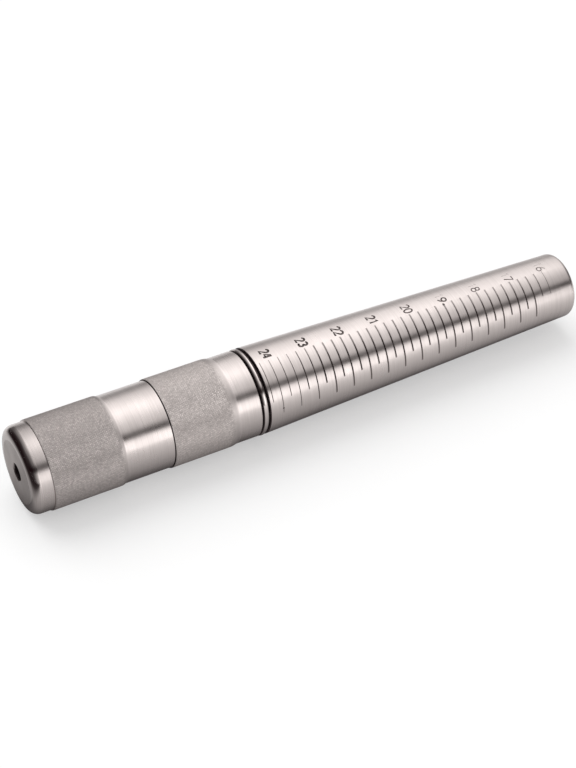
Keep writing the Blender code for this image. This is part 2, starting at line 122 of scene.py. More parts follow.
class Wiring:
    """Adds and joins the nodes of one material or world."""

    def __init__(self, owner: bpy.types.Material | bpy.types.World) -> None:
        """Start on the nodes that the owner has.

        Args:
            owner: The material or world.
        """
        owner.use_nodes = True
        self.owner = owner
        self.nodes = owner.node_tree.nodes
        self.links = owner.node_tree.links

    def put(self, target: Socket, value: object) -> None:
        """Link a socket to an input, or give the input a plain value.

        Args:
            target: The input.
            value: The socket or the value.
        """
        if isinstance(value, Socket):
            self.links.new(value, target)
        else:
            target.default_value = value

    def add(self, kind: str, inputs: dict[int | str, object], **settings: object) -> bpy.types.Node:
        """Add a node, set its properties and fill its inputs.

        Args:
            kind: The node's type without its ShaderNode prefix.
            inputs: The socket or value of each input, by its number or name.
            settings: The node's properties by name.

        Returns:
            The new node.
        """
        node = self.nodes.new(f"ShaderNode{kind}")
        for name, value in settings.items():
            setattr(node, name, value)
        for name, value in inputs.items():
            self.put(node.inputs[name], value)
        return node

    def set(self, **values: object) -> None:
        """Fill the shader's inputs, named with underscores for spaces."""
        for name, value in values.items():
            self.put(self.nodes["Principled BSDF"].inputs[name.replace("_", " ")], value)

    def math(self, operation: str, *values: Socket | float, use_clamp: bool = False) -> Socket:
        """Calculate with sockets and numbers.

        Args:
            operation: The calculation's name.
            values: What it takes, in order.
            use_clamp: Whether the result is held between 0 and 1.

        Returns:
            The socket of the result.
        """
        node = self.add("Math", dict(enumerate(values)), operation=operation, use_clamp=use_clamp)
        return node.outputs[0]

    def length(self, vector: Socket) -> Socket:
        """Give a vector's length."""
        return self.add("VectorMath", {0: vector}, operation="LENGTH").outputs["Value"]

    def split(self, vector: Socket) -> Sequence[Socket]:
        """Give a vector's X, Y and Z."""
        return self.add("SeparateXYZ", {0: vector}).outputs

    def place(self, centre: Vector, scale: Triple = (1.0, 1.0, 1.0)) -> Socket:
        """Read Object coordinates, centred on a point and then scaled.

        Args:
            centre: The point that becomes the pattern's origin.
            scale: How much each axis is multiplied.

        Returns:
            The vector socket of the mapped coordinates.
        """
        location = [-c * s for c, s in zip(centre, scale)]
        source = self.add("TexCoord", {}).outputs["Object"]
        mapping = self.add("Mapping", {"Vector": source, "Location": location, "Scale": scale})
        return mapping.outputs["Vector"]

    def noise(self, vector: Socket, scale: float, detail: float) -> Socket:
        """Give the value of a noise pattern, read at a vector."""
        return self.add("TexNoise", {"Vector": vector, "Scale": scale, "Detail": detail}).outputs["Fac"]

    def span(self, value: Socket, old: Pair, new: Pair = (0.0, 1.0)) -> Socket:
        """Map a value from one range to another, held at its ends.

        Args:
            value: The value's socket.
            old: The range that it comes from.
            new: The range that it goes to.

        Returns:
            The socket of the mapped value.
        """
        ends = dict(zip(("From Min", "From Max", "To Min", "To Max"), (*old, *new)))
        return self.add("MapRange", {"Value": value, **ends}, clamp=True).outputs["Result"]

    def blend(
        self, share: Socket | float, first: Colour | Socket, second: Colour | Socket, kind: str = "MIX"
    ) -> Socket:
        """Mix two colours.

        Args:
            share: How much of the second colour shows.
            first: The first colour, or its socket.
            second: The second colour, or its socket.
            kind: How they mix.

        Returns:
            The socket of the mixed colour.
        """
        first, second = (c if isinstance(c, Socket) else (*c, 1) for c in (first, second))
        inputs = {"Factor": share, "A": first, "B": second}
        return self.add("Mix", inputs, data_type="RGBA", blend_type=kind).outputs["Result"]

    def ramp(self, share: Socket, stops: Sequence[Pair]) -> Socket:
        """Map a share to a grey level.

        Args:
            share: The share's socket, from 0 to 1.
            stops: The (share, level) pairs of the ramp.

        Returns:
            The socket of the level.
        """
        ramp = self.add("ValToRGB", {"Fac": share})
        elements = ramp.color_ramp.elements
        elements.remove(elements[-1])
        for index, (place, level) in enumerate(stops):
            element = elements[0] if index == 0 else elements.new(place)
            element.position = place
            element.color = (level, level, level, 1)
        return ramp.outputs["Color"]

    def bump(self, height: Socket, distance: float) -> None:
        """Raise the surface by a pattern, whose full height stands out by a distance."""
        bump = self.add("Bump", {"Distance": distance, "Strength": 1.0, "Height": height})
        self.set(Normal=bump.outputs["Normal"])

    def background_rays(self) -> Socket:
        """Find the rays that see the white background: camera, glossy and transmission rays.

        Returns:
            A socket that is 1 for those rays and 0 for the others.
        """
        path = self.add("LightPath", {})
        total = path.outputs["Is Camera Ray"]
        for name in ("Is Glossy Ray", "Is Transmission Ray"):
            total = self.math("ADD", total, path.outputs[name], use_clamp=True)
        return total


@dataclass(frozen=True)
class Finish:
    """The look of a metal surface."""

    name: str

    def material(self, axis: Vector) -> bpy.types.Material:
        """Make the material.

        Args:
            axis: The point on the mandrel's axis where its patterns start.

        Returns:
            The new material.
        """
        wiring = Wiring(bpy.data.materials.new(self.name))
        self.wire(wiring, axis)
        wiring.set(Metallic=1.0)
        return wiring.owner

    def wire(self, wiring: Wiring, axis: Vector) -> None:
        """Add the nodes of this finish, with its patterns starting at a point on the axis."""
        raise NotImplementedError


@dataclass(frozen=True)
class BrushedSteel(Finish):
    """Steel whose fine marks run round the mandrel's axis.

    The marks spread reflections along the axis and leave them crisp round it.
    """

    colour: Colour
    dull_colour: Colour
    roughness: Pair
    anisotropy: float = 0.72
    spread_turn: float = 0.25
    lines_per_metre: float = 3200.0
    patches_per_metre: float = 60.0
    line_height: float = 0.0012 * MM
    dull_lines: Pair = (0.35, 0.70)

    def wire(self, wiring: Wiring, axis: Vector) -> None:
        """Add fine lines round the axis and dull patches.

        Args:
            wiring: The material.
            axis: The point on the axis where the patterns start.
        """
        across = self.patches_per_metre
        lines = wiring.noise(wiring.place(axis, (self.lines_per_metre, across, across)), 1.0, 3.0)
        patches = wiring.noise(wiring.place(axis), across * 2, 2.0)
        tangent = wiring.add("Tangent", {}, direction_type="RADIAL", axis="X")
        wiring.set(
            Base_Color=wiring.blend(wiring.span(lines, self.dull_lines), self.colour, self.dull_colour),
            Roughness=wiring.span(patches, NOISE_MIDDLE, self.roughness),
            Tangent=tangent.outputs["Tangent"],
            Anisotropic=self.anisotropy,
            Anisotropic_Rotation=self.spread_turn,
        )
        wiring.bump(lines, self.line_height)


@dataclass(frozen=True)
class KnurledSteel(Finish):
    """Steel with bright crests, painted shade in its grooves, and darker stains and grains.

    The painted shade finds the grooves by their distance from the mandrel's axis.
    """

    crest_colour: Colour
    groove_colour: Colour
    groove_radius: float
    crest_radius: float
    fade: Pair
    roughness: Pair = (0.44, 0.56)
    plain_roughness: float = 0.30
    grains_per_metre: float = 1500.0
    patches_per_metre: float = 330.0
    worn_grains: Pair = (0.36, 0.64)
    stained_patches: Pair = (0.5, 0.68)
    most_stained: float = 0.5

    def wire(self, wiring: Wiring, axis: Vector) -> None:
        """Paint shade into the grooves, darken stains and grains, and fade to plain steel in front.

        Args:
            wiring: The material.
            axis: The point on the axis where the patterns start.
        """
        place = wiring.place(axis)
        radius = wiring.length(wiring.place(axis, (0.0, 1.0, 1.0)))
        # Painted shade: the deeper below the crests, the darker the groove.
        depth = wiring.span(radius, (self.groove_radius, self.crest_radius), (1.0, 0.0))
        wear = wiring.noise(place, self.grains_per_metre, 3.0)
        patches = wiring.noise(place, self.patches_per_metre, 2.0)
        plain = wiring.span(wiring.split(place)[0], self.fade)
        stains = wiring.span(patches, self.stained_patches, (0.0, self.most_stained))
        steel: Colour | Socket = self.crest_colour
        for share in (wiring.span(wear, self.worn_grains), stains, depth):
            steel = wiring.blend(share, steel, self.groove_colour)
        rough = wiring.span(wear, NOISE_MIDDLE, self.roughness)
        rough = wiring.add("Mix", {"Factor": plain, "A": rough, "B": self.plain_roughness})
        wiring.set(Base_Color=wiring.blend(plain, steel, WARM_STEEL), Roughness=rough.outputs["Result"])


@dataclass(frozen=True)
class PlainMetal(Finish):
    """Metal of the inner pieces, mottled by handling, oil or pores."""

    colour: Colour
    mottle_colour: Colour
    roughness: Pair
    mottles_per_metre: float
    pit_height: float
    mottled: Pair = (0.4, 0.65)

    def wire(self, wiring: Wiring, axis: Vector) -> None:
        """Mottle the metal.

        Args:
            wiring: The material.
            axis: The point on the axis where the pattern starts.
        """
        mottle = wiring.noise(wiring.place(axis), self.mottles_per_metre, 4.0)
        wiring.set(
            Base_Color=wiring.blend(wiring.span(mottle, self.mottled), self.colour, self.mottle_colour),
            Roughness=wiring.span(mottle, NOISE_MIDDLE, self.roughness),
        )
        wiring.bump(mottle, self.pit_height)


@dataclass(frozen=True)
class EngravingFill(Finish):
    """The dark colour in the engraved marks and numbers, rubbed away towards both ends of the scale."""

    colour: Colour
    rubbed_colour: Colour
    large_end: Pair
    small_end: Pair
    most_rubbed: float = 0.75
    # Painted sheen: how far the fill lightens above and below a band of turns round the axis.
    upper_rubbed: float = 0.0
    upper_turns: Pair = (radians(28), radians(46))
    lower_rubbed: float = 0.0
    lower_turns: Pair = (radians(53), radians(62))
    roughness: Pair = (0.35, 0.5)
    grains_per_metre: float = 420.0
    rubbed_grains: Pair = (0.45, 0.75)
    grains_rubbed: float = 0.5

    def wire(self, wiring: Wiring, axis: Vector) -> None:
        """Lighten the fill wherever wear or the painted sheen is strongest.

        Args:
            wiring: The material.
            axis: The point on the axis from which the two ends are measured.
        """
        along, across, up = wiring.split(wiring.place(axis, (1.0, -1.0, 1.0)))
        turn = wiring.math("ARCTAN2", across, up)
        grain = wiring.noise(wiring.place(axis), self.grains_per_metre, 2.0)
        share = wiring.span(along, self.large_end, (self.most_rubbed, 0.0))
        for value, old, new in (
            (along, self.small_end, (0.0, self.most_rubbed)),
            # Painted sheen: lighter fill above and below a band of turns round the axis.
            (turn, self.upper_turns, (self.upper_rubbed, 0.0)),
            (turn, self.lower_turns, (0.0, self.lower_rubbed)),
            (grain, self.rubbed_grains, (0.0, self.grains_rubbed)),
        ):
            share = wiring.math("MAXIMUM", share, wiring.span(value, old, new))
        wiring.set(
            Base_Color=wiring.blend(share, self.colour, self.rubbed_colour),
            Roughness=wiring.span(grain, NOISE_MIDDLE, self.roughness),
        )


# Modelling on the mandrel's axis


def arc(centre: Pair, radius: float, start: float, end: float, steps: int) -> Outline:
    """Follow an arc of an outline.

    Args:
        centre: The arc's centre as a station and a distance from the axis.
        radius: The arc's radius.
        start: Its first angle, from the tip's direction outwards.
        end: Its last angle.
        steps: How many pieces it has.

    Returns:
        The arc's points, both ends included.
    """
    angles = [start + (end - start) * step / steps for step in range(steps + 1)]
    return [(centre[0] + radius * cos(a), centre[1] + radius * sin(a)) for a in angles]


def choose(piece: Piece) -> None:
    """Select one piece alone and make it the active one.

    Args:
        piece: The piece.
    """
    bpy.ops.object.select_all(action="DESELECT")
    piece.select_set(True)
    bpy.context.view_layer.objects.active = piece


class Editing:
    """Keeps a piece in edit mode while its elements are picked and changed."""

    def __init__(self, piece: Piece, kind: Pick) -> None:
        """Choose the piece to edit, and the kind of element to pick."""
        self.piece = piece
        self.kind = kind

    def __enter__(self) -> "Editing":
        """Open edit mode on the piece alone.

        Returns:
            This editing.
        """
        choose(self.piece)
        bpy.ops.object.mode_set(mode="EDIT")
        bpy.ops.mesh.select_mode(type=self.kind.value)
        return self

    def __exit__(self, *problem: object) -> None:
        """Close edit mode."""
        bpy.ops.object.mode_set(mode="OBJECT")

    def pick(self, wanted: Callable[..., bool]) -> None:
        """Select the elements that pass a test, and no others.

        Args:
            wanted: The test, which gets a bmesh element.
        """
        bpy.ops.mesh.select_all(action="DESELECT")
        mesh = bmesh.from_edit_mesh(self.piece.data)
        every = {Pick.VERTEX: mesh.verts, Pick.EDGE: mesh.edges, Pick.FACE: mesh.faces}[self.kind]
        for element in [element for element in every if wanted(element)]:
            element.select_set(True)
        bmesh.update_edit_mesh(self.piece.data)

    def paint(self, wanted: Callable[[Face], bool], slot: int) -> None:
        """Give the faces that pass a test the material in a slot.

        Args:
            wanted: The test, which gets a face.
            slot: The number of the material slot.
        """
        self.pick(wanted)
        self.piece.active_material_index = slot
        bpy.ops.object.material_slot_assign()


@dataclass(frozen=True)
class Knurl:
    """A band of diamond knurling on a turned piece."""

    start: float
    end: float
    groove_radius: float
    crest_radius: float
    rows: int
    columns: int
    band_radius: float
    fading_rows: int


class Lathe:
    """Turns and cuts pieces about the mandrel's axis."""

    def __init__(self, rear: float, height: float) -> None:
        """Set where the axis lies.

        Args:
            rear: The place of the handle's rear face along X.
            height: The axis's height above the ground.
        """
        self.rear = rear
        self.height = height
        self.origin = Vector((rear, 0, height))

    def station(self, place: Vector) -> float:
        """Give the station of a point."""
        return place.x - self.rear

    def turn(self, place: Vector) -> float:
        """Give the turn of a point."""
        return atan2(-place.y, place.z - self.height)

    def radius(self, place: Vector) -> float:
        """Give a point's distance from the axis."""
        return hypot(place.y, place.z - self.height)

    def point(self, station: float, radius: float, turn: float) -> Vector:
        """Give the point at a station, a distance from the axis and a turn."""
        return self.origin + Vector((station, -radius * sin(turn), radius * cos(turn)))

    def turned(
        self, name: str, outline: Outline, segments: int, finishes: Sequence[Finish]
    ) -> Piece:
        """Draw a ring out along an outline, as a lathe would turn it.

        Args:
            name: The piece's name.
            outline: Its (station, radius) points. Open ends are closed with flat discs.
            segments: How many facets go round.
            finishes: Its finishes, one for each material slot.

        Returns:
            The finished solid, with its place in its mesh.
        """
        bpy.ops.object.select_all(action="DESELECT")
        first, radius = outline[0]
        bpy.ops.mesh.primitive_circle_add(
            vertices=segments, radius=radius, fill_type="NOTHING",
            location=(self.rear + first, 0, self.height), rotation=(0, pi / 2, 0),
        )
        piece = bpy.context.active_object
        piece.name = piece.data.name = name
        bpy.ops.object.transform_apply(location=True, rotation=True, scale=True)
        with Editing(piece, Pick.VERTEX):
            bpy.ops.mesh.select_all(action="SELECT")
            for (here, old), (there, new) in zip(outline, outline[1:]):
                bpy.ops.mesh.extrude_edges_move(TRANSFORM_OT_translate={"value": (there - here, 0, 0)})
                self.resize(new / old)
            bpy.ops.mesh.select_all(action="SELECT")
            bpy.ops.mesh.remove_doubles(threshold=MERGE_DISTANCE)
            bpy.ops.mesh.select_all(action="DESELECT")
            bpy.ops.mesh.select_non_manifold(extend=False)
            bpy.ops.mesh.fill_holes(sides=0)
            bpy.ops.mesh.select_all(action="SELECT")
            bpy.ops.mesh.normals_make_consistent(inside=False)
        for finish in finishes:
            piece.data.materials.append(finish.material(self.origin))
        return piece

    def resize(self, share: float) -> None:
        """Scale what is selected about the axis, without moving it along."""
        bpy.ops.transform.resize(value=(1, share, share), center_override=self.origin)

    @staticmethod
    def eased(share: float) -> float:
        """Ease a share from 0 to 1 in and out."""
        return share * share * (3 - 2 * share)

    def cut_knurl(self, piece: Piece, knurl: Knurl) -> None:
        """Cut a diamond knurl into a plain band of a turned piece.

        Args:
            piece: The piece, whose band has one ring of vertices at each of its ends.
            knurl: The band's place and shape.
        """
        row_pitch = (knurl.end - knurl.start) / knurl.rows
        column_pitch = FULL_TURN / knurl.columns
        rise = knurl.crest_radius / knurl.groove_radius - 1
        fall = knurl.band_radius / knurl.groove_radius - 1

        def outer(vert: Vertex) -> bool:
            """Tell whether a vertex lies on the band's outside."""
            return self.radius(vert.co) > knurl.groove_radius - MERGE_DISTANCE

        def crosses(edge: bmesh.types.BMEdge) -> bool:
            """Tell whether an edge runs from one end of the band to the other."""
            ends = zip(sorted(self.station(v.co) for v in edge.verts), (knurl.start, knurl.end))
            return all(outer(v) for v in edge.verts) and all(abs(a - b) < MERGE_DISTANCE for a, b in ends)

        def crest(vert: Vertex, first: int, last: int) -> bool:
            """Tell whether a vertex is a crest of some rows.

            Args:
                vert: The vertex.
                first: The first row, counted from the band's front end.
                last: The last row.

            Returns:
                Whether it is one.
            """
            row = round((knurl.end - self.station(vert.co)) / row_pitch)
            column = round(self.turn(vert.co) / column_pitch)
            return outer(vert) and first <= row <= last and (row + column) % 2 == 0

        with Editing(piece, Pick.EDGE) as editing:
            editing.pick(crosses)
            bpy.ops.mesh.subdivide(number_cuts=knurl.rows - 1)
        with Editing(piece, Pick.VERTEX) as editing:
            for row in range(knurl.fading_rows):
                near = knurl.end - row * row_pitch
                editing.pick(lambda vert: crest(vert, row, row))
                self.resize(1 + rise * self.eased(row / knurl.fading_rows))
                editing.pick(lambda vert: abs(self.station(vert.co) - near) < MERGE_DISTANCE)
                self.resize(1 + fall * (1 - self.eased(min(1.0, 2 * row / knurl.fading_rows))))
            editing.pick(lambda vert: crest(vert, knurl.fading_rows, knurl.rows - 1))
            self.resize(1 + rise)
        with Editing(piece, Pick.FACE) as editing:
            editing.pick(lambda face: self.in_band(face, knurl))
            bpy.ops.mesh.quads_convert_to_tris(quad_method="SHORTEST_DIAGONAL")

    def in_band(self, face: Face, knurl: Knurl) -> bool:
        """Tell whether a face lies on the outside of a knurl's band.

        Args:
            face: The face.
            knurl: The knurl.

        Returns:
            Whether it does.
        """
        middle = face.calc_center_median()
        inside = knurl.start < self.station(middle) < knurl.end
        return inside and self.radius(middle) > knurl.band_radius - SURFACE_DEPTH


def smooth(piece: Piece, angle: float = SHARP_ANGLE) -> None:
    """Shade a piece smooth, but for the edges that turn by more than an angle."""
    choose(piece)
    bpy.ops.object.shade_smooth_by_angle(angle=angle)


def cut(piece: Piece, cutter: Piece) -> None:
    """Cut a piece by another one, and remove the cutter.

    Args:
        piece: The piece that is cut.
        cutter: The solid that is taken away from it.
    """
    boolean = piece.modifiers.new("cut", "BOOLEAN")
    boolean.operation = "DIFFERENCE"
    boolean.solver = "MANIFOLD"
    boolean.object = cutter
    choose(piece)
    bpy.ops.object.modifier_apply(modifier=boolean.name)
    bpy.data.objects.remove(cutter, do_unlink=True)


def coat(cutter: Piece, finishes: Sequence[bpy.types.Material], slot: int = 0) -> None:
    """Give a cutter the materials of the piece that it cuts, so that the slots stay in step.

    Args:
        cutter: The cutter.
        finishes: The piece's materials.
        slot: The slot of the material that the cut's walls get.
    """
    cutter.data.materials.clear()
    for finish in finishes:
        cutter.data.materials.append(finish)
    with Editing(cutter, Pick.FACE) as editing:
        editing.paint(lambda face: True, slot)


def drill(piece: Piece, *pins: str) -> None:
    """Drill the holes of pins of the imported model, a clearance wider and longer all round.

    Args:
        piece: The piece that is drilled.
        pins: The pins' nodes, which lie along X.
    """
    for pin in pins:
        low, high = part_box(pin)
        bpy.ops.object.select_all(action="DESELECT")
        bpy.ops.mesh.primitive_cylinder_add(
            vertices=PIN_FACETS, radius=(high.y - low.y) / 2 + PIN_CLEARANCE,
            depth=high.x - low.x + PIN_CLEARANCE * 2, location=(low + high) / 2, rotation=(0, pi / 2, 0),
        )
        cutter = bpy.context.active_object
        coat(cutter, piece.data.materials)
        cut(piece, cutter)


# Numbers


def bow(centre: Pair, radii: Pair, start: float, end: float, steps: int = 10) -> Outline:
    """Follow part of an ellipse of a figure.

    Args:
        centre: The ellipse's centre.
        radii: Its half width and half height.
        start: Its first angle in degrees, from the right and anticlockwise.
        end: Its last angle in degrees.
        steps: How many pieces it has.

    Returns:
        The points of the stroke.
    """
    angles = [radians(start + (end - start) * step / steps) for step in range(steps + 1)]
    return [(centre[0] + radii[0] * cos(a), centre[1] + radii[1] * sin(a)) for a in angles]


# The scale's figures as single strokes of (across, up) points, one unit high
WIDE = 0.54
HALF = WIDE / 2
CLOSED_GAP = 0.01
FIGURES: dict[str, list[Outline]] = {
    "0": [bow((HALF, 0.5), (HALF, 0.5), 0, 360, 20)],
    "1": [[(0.10, 0.78), (0.30, 1.0), (0.30, 0.0)]],
    "2": [[*bow((HALF, 0.73), (HALF, 0.27), 165, -35), (0.0, 0.0), (WIDE, 0.0)]],
    "3": [
        bow((HALF - 0.02, 0.76), (HALF - 0.03, 0.24), 150, -90),
        bow((HALF - 0.02, 0.26), (HALF, 0.26), 90, -150),
    ],
    "4": [[(0.40, 0.0), (0.40, 1.0)], [(0.36, 0.96), (0.0, 0.30), (WIDE, 0.30)]],
    "6": [bow((HALF, 0.28), (HALF, 0.28), 0, 360, 16), [(0.44, 1.0), (0.18, 0.76), (0.03, 0.42)]],
    "7": [[(0.0, 1.0), (WIDE, 1.0), (0.16, 0.0)]],
    "8": [
        bow((HALF, 0.76), (HALF - 0.05, 0.24), 0, 360, 14),
        bow((HALF, 0.27), (HALF, 0.27), 0, 360, 16),
    ],
    "9": [
        bow((HALF, 0.72), (HALF, 0.28), 0, 360, 16),
        [(0.10, 0.0), (0.36, 0.24), (WIDE - 0.03, 0.58)],
    ],
}


# Finishes of the pieces

WARM_STEEL: Colour = (0.665, 0.605, 0.584)
WARM_STEEL_DULL: Colour = (0.585, 0.530, 0.510)
# A lighter fill colour, both for worn fill and for the painted sheen on the fill.
RUBBED_AND_SHEEN: Colour = (0.40, 0.365, 0.350)
# Each knurl's crest colour, then the colour of the painted shade and stains in its grooves.
FRONT_KNURL = ((0.880, 0.807, 0.777), (0.475, 0.433, 0.416))
REAR_KNURL = ((0.820, 0.752, 0.725), (0.420, 0.382, 0.368))

GROUND = BrushedSteel("ground steel", WARM_STEEL, WARM_STEEL_DULL, (0.27, 0.33))
BAND = BrushedSteel("turned steel", WARM_STEEL, WARM_STEEL_DULL, (0.25, 0.31))
ROUNDED = BrushedSteel("polished steel edge", WARM_STEEL, WARM_STEEL_DULL, (0.12, 0.16), anisotropy=0.0)
BEAD = BrushedSteel("polished bead steel", WARM_STEEL, WARM_STEEL_DULL, (0.10, 0.14), anisotropy=0.0)
FACED = BrushedSteel(
    "faced steel", (0.64, 0.583, 0.557), (0.50, 0.455, 0.435), (0.30, 0.38), anisotropy=0.3
)
# The marks' fill gets painted sheen above and below a band of turns round the axis.
MARK_FILL = EngravingFill(
    "fill of the marks", (0.122, 0.096, 0.094), RUBBED_AND_SHEEN, (90 * MM, 106 * MM), (197 * MM, 205 * MM),
    upper_rubbed=0.75, lower_rubbed=0.36,
)
FIGURE_FILL = EngravingFill(
    "fill of the figures", (0.110, 0.086, 0.084), RUBBED_AND_SHEEN, (80 * MM, 92 * MM), (201 * MM, 207 * MM),
    most_rubbed=0.6,
)
# Painted shade: a dark colour for the walls of the seams and grooves and the inside of the cap's hole.
PAINTED_SHADE = PlainMetal(
    "painted shade in the seams", (0.085, 0.064, 0.065), (0.135, 0.105, 0.106), (0.5, 0.65), 900.0, 0.005 * MM
)
BRONZE = PlainMetal(
    "sintered bronze", (0.60, 0.38, 0.17), (0.42, 0.25, 0.11), (0.32, 0.5), 1500.0, 0.01 * MM
)
BLACKED_WASHER = PlainMetal(
    "blacked steel washer", (0.030, 0.029, 0.030), (0.055, 0.052, 0.05), (0.4, 0.55), 700.0, 0.004 * MM
)
SPRING = PlainMetal(
    "oiled spring steel", (0.26, 0.25, 0.24), (0.16, 0.15, 0.15), (0.28, 0.42), 500.0, 0.003 * MM
)
TOOL_STEEL = PlainMetal(
    "ground tool steel", (0.46, 0.46, 0.47), (0.38, 0.38, 0.39), (0.22, 0.34), 900.0, 0.002 * MM
)
BLACKED_SCREW = PlainMetal(
    "blacked screw steel", (0.050, 0.048, 0.050), (0.085, 0.08, 0.078), (0.36, 0.5), 800.0, 0.004 * MM
)
INNER_FINISHES: dict[Finish, tuple[str, ...]] = {
    BRONZE: ("front_bush", "rear_bush", "rear_thrust_washer"),
    BLACKED_WASHER: ("front_thrust_washer",),
    SPRING: ("disc_spring_front", "disc_spring_rear"),
    TOOL_STEEL: ("clamp_washer", "drive_pin_1", "drive_pin_2", "washer_pin"),
    BLACKED_SCREW: ("retaining_screw",),
}


# Sub-assemblies


@dataclass(frozen=True)
class Mark:
    """One engraved mark of the ring scale."""

    station: float
    end: float
    depth: float


@dataclass
class Taper:
    """The graduated taper with its shank, its engraved marks and its numbers."""

    lathe: Lathe
    shoulder: float = 87.25 * MM
    largest_mark: float = 92.3 * MM
    size_pitch: float = 14.19 * MM
    largest_size: int = 24
    smallest_size: int = 16
    marks_per_size: int = 4
    extra_marks: int = 1
    size_zero_diameter: float = 11.63 * MM
    diameter_per_size: float = 0.8128 * MM
    tip: float = 216.72 * MM
    tip_edge: float = 2.0 * MM
    tip_edge_steps: int = 10
    centre_mouth: float = 2.1 * MM
    centre_pilot: float = 1.0 * MM
    centre_depths: Pair = (1.905 * MM, 4.305 * MM)
    shoulder_chamfer: float = 0.3 * MM
    shank_radius: float = 8.0 * MM
    shank_end: float = 17.5 * MM
    shank_chamfer: float = 0.6 * MM
    bore_radius: float = 3.3 * MM
    bore_depth: float = 15.3 * MM
    bore_point: float = 1.9 * MM
    bore_point_radius: float = 0.1 * MM
    least_outside: float = 9.6 * MM
    mark_width: float = 0.60 * MM
    mark_depth: float = 0.24 * MM
    mark_start: float = radians(15.0)
    long_mark_end: float = radians(90.0)
    short_mark_end: float = radians(70.0)
    mark_end_share: float = 0.5
    worn_depths: tuple[float, ...] = (1.0, 0.75, 0.5)
    most_wear: float = 0.6
    large_end_wear: int = 6
    small_end_wear: int = 2
    worn_end: float = radians(57.0)
    mark_zones: Stops = ((24, 0.35), (32, 0.45), (38, 0.65), (44, 0.85), (180, 1.0))
    punch_dots: tuple[tuple[int, float, float], ...] = (
        (19, radians(17.6), 0.50 * MM), (24, radians(83.0), 0.36 * MM),
    )
    punch_lift: float = 0.4
    crisp_angle: float = radians(12.0)
    mark_slot: int = 1
    grime_slot: int = 2
    figure_slot: int = 3
    figure_height: float = 3.2 * MM
    figure_pitch: float = 2.35 * MM
    figure_stroke: float = 0.42 * MM
    figure_lift: float = 0.14 * MM
    worn_first: float = 0.41
    worn_sizes: tuple[float, ...] = (0.62, 0.75, 0.66, 0.85, 0.8, 1.0, 1.05, 1.1, 1.15)
    figure_shift: float = 0.5 * MM
    figure_turn: float = radians(3.9)
    segments: int = 288

    @property
    def slope(self) -> float:
        """Give how much the radius falls over a length of the taper."""
        return self.diameter_per_size / self.size_pitch / 2

    def surface(self, station: float) -> float:
        """Give the taper's radius at a station."""
        largest = (self.size_zero_diameter + self.largest_size * self.diameter_per_size) / 2
        return largest - self.slope * (station - self.largest_mark)

    def size_station(self, size: int) -> float:
        """Give the station of a whole size's mark."""
        return self.largest_mark + (self.largest_size - size) * self.size_pitch

    def marks(self) -> list[Mark]:
        """List the marks from the tip backwards.

        Returns:
            The marks.
        """
        last = (self.largest_size - self.smallest_size) * self.marks_per_size
        marks = []
        for index in range(last, -self.extra_marks - 1, -1):
            station = self.largest_mark + index * self.size_pitch / self.marks_per_size
            end = self.long_mark_end if index % 2 == 0 else self.short_mark_end
            if index > last - self.small_end_wear:
                end = self.worn_end
            wear = max(
                (self.large_end_wear - index) / self.large_end_wear,
                (index - last + self.small_end_wear) / self.small_end_wear,
            )
            left = 1 - wear * self.most_wear
            marks.append(Mark(station, end, min(self.worn_depths, key=lambda depth: abs(depth - left))))
        return marks

    def outline(self) -> Outline:
        """Follow the outline, from the centre hole in the tip round to the tapped bore.

        Returns:
            The outline's points.
        """
        edge_station = self.tip - self.tip_edge
        edge_centre = (edge_station, self.surface(edge_station) - self.tip_edge)
        outline = [
            (self.tip - self.centre_depths[1], self.centre_pilot),
            (self.tip - self.centre_depths[0], self.centre_pilot),
            (self.tip, self.centre_mouth),
            *arc(edge_centre, self.tip_edge, 0.0, pi / 2 - self.slope, self.tip_edge_steps),
        ]
        for mark in self.marks():
            half = self.mark_width * mark.depth / 2
            places = [mark.station + step for step in (half, 0.0, -half)]
            outline += [(place, self.surface(place)) for place in places]
        chamfer = self.shoulder + self.shoulder_chamfer
        bottom = self.shank_end + self.bore_depth
        outline += [
            (chamfer, self.surface(chamfer)),
            (self.shoulder, self.surface(chamfer) - self.shoulder_chamfer),
            (self.shoulder, self.shank_radius),
            (self.shank_end + self.shank_chamfer, self.shank_radius),
            (self.shank_end, self.shank_radius - self.shank_chamfer),
            (self.shank_end, self.bore_radius),
            (bottom, self.bore_radius),
            (bottom + self.bore_point, self.bore_point_radius),
        ]
        return outline

    def build(self) -> Piece:
        """Turn, drill, mark, number and finish the piece.

        Returns:
            The finished piece.
        """
        finishes = (GROUND, MARK_FILL, PAINTED_SHADE, FIGURE_FILL)
        piece = self.lathe.turned("graduated_taper", self.outline(), self.segments, finishes)
        # Paint shade on the shoulder's walls in the groove beside the bead ring.
        with Editing(piece, Pick.FACE) as editing:
            editing.paint(lambda face: self.in_shoulder(face.calc_center_median()), self.grime_slot)
        drill(piece, "drive_pin_1", "drive_pin_2", "washer_pin")
        self.engrave_marks(piece)
        for layer in range(max(len(strokes) for strokes in FIGURES.values())):
            cut(piece, self.figure_cutter(layer, piece.data.materials))
        self.punch(piece)
        smooth(piece, self.crisp_angle)
        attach(piece, Body.MANDREL.value)
        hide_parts("mandrel")
        return piece

    def in_shoulder(self, place: Vector) -> bool:
        """Tell whether a point lies on the shoulder, in the groove beside the bead ring, where shade is
        painted.

        Args:
            place: The point.

        Returns:
            Whether it does.
        """
        low, high = self.shoulder - MERGE_DISTANCE, self.shoulder + self.shoulder_chamfer
        return low < self.lathe.station(place) < high and self.lathe.radius(place) > self.shank_radius

    def engrave_marks(self, piece: Piece) -> None:
        """Press the marks' V-shaped grooves into the taper and fill them.

        Args:
            piece: The turned piece, with three rings of vertices at each mark.
        """
        lathe = self.lathe
        marks = self.marks()
        step = FULL_TURN / self.segments
        spacing = self.size_pitch / self.marks_per_size

